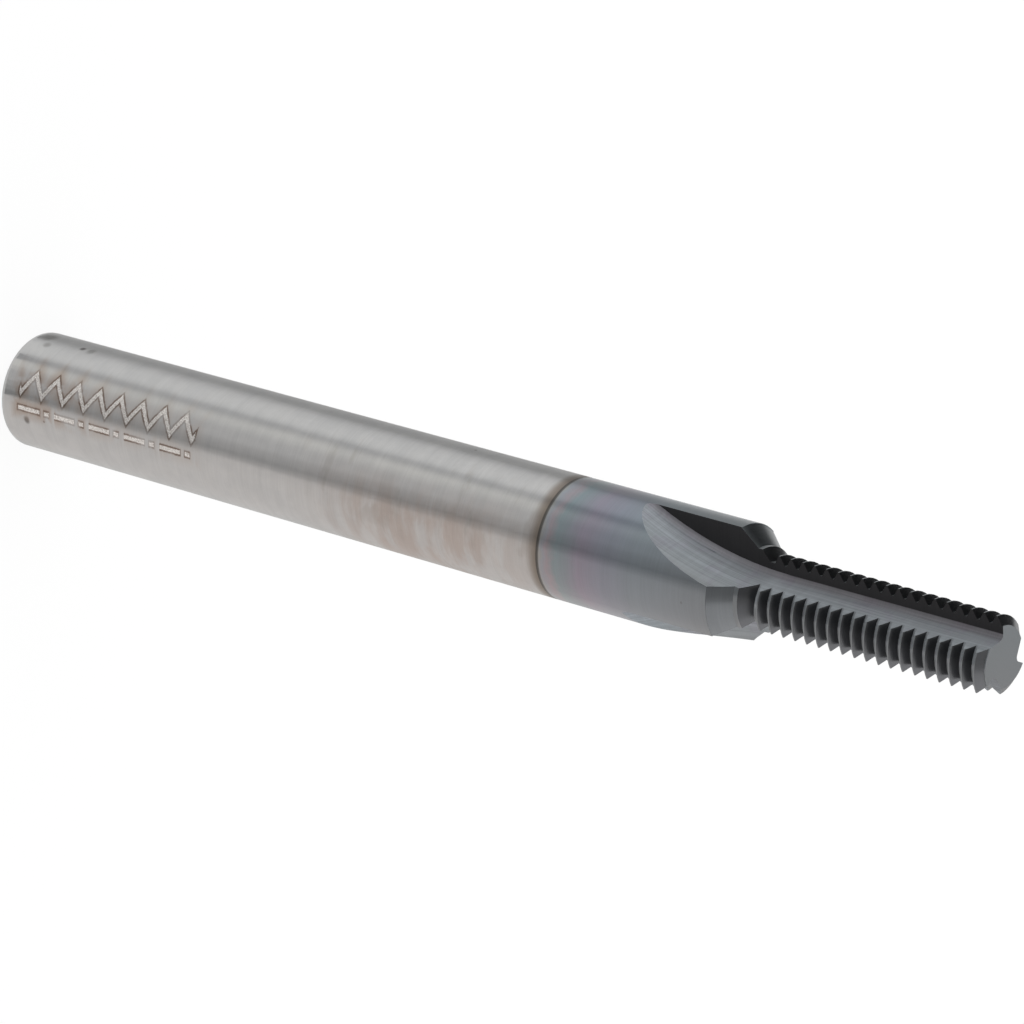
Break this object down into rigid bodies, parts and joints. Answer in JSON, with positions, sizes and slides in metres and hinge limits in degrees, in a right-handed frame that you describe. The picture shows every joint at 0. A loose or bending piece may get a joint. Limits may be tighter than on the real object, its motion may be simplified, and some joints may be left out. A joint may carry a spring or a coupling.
{
  "type": "thread mill",
  "caption": "Solid carbide thread mill: a plain round shank with a short fluted cutting end that carries rings of pointed thread-form teeth.",
  "frame": {"origin": "centre of the shank's end face", "axes": "+Z along the tool's axis, from the shank end to the cutting end"},
  "size_m": [0.0064, 0.0064, 0.0635],
  "materials": {
    "carbide": "ground, with a thin dark coating on the cutting end"
  },
  "bodies": {
    "root": {"thread_mill": "carbide"}
  },
  "joints": []
}
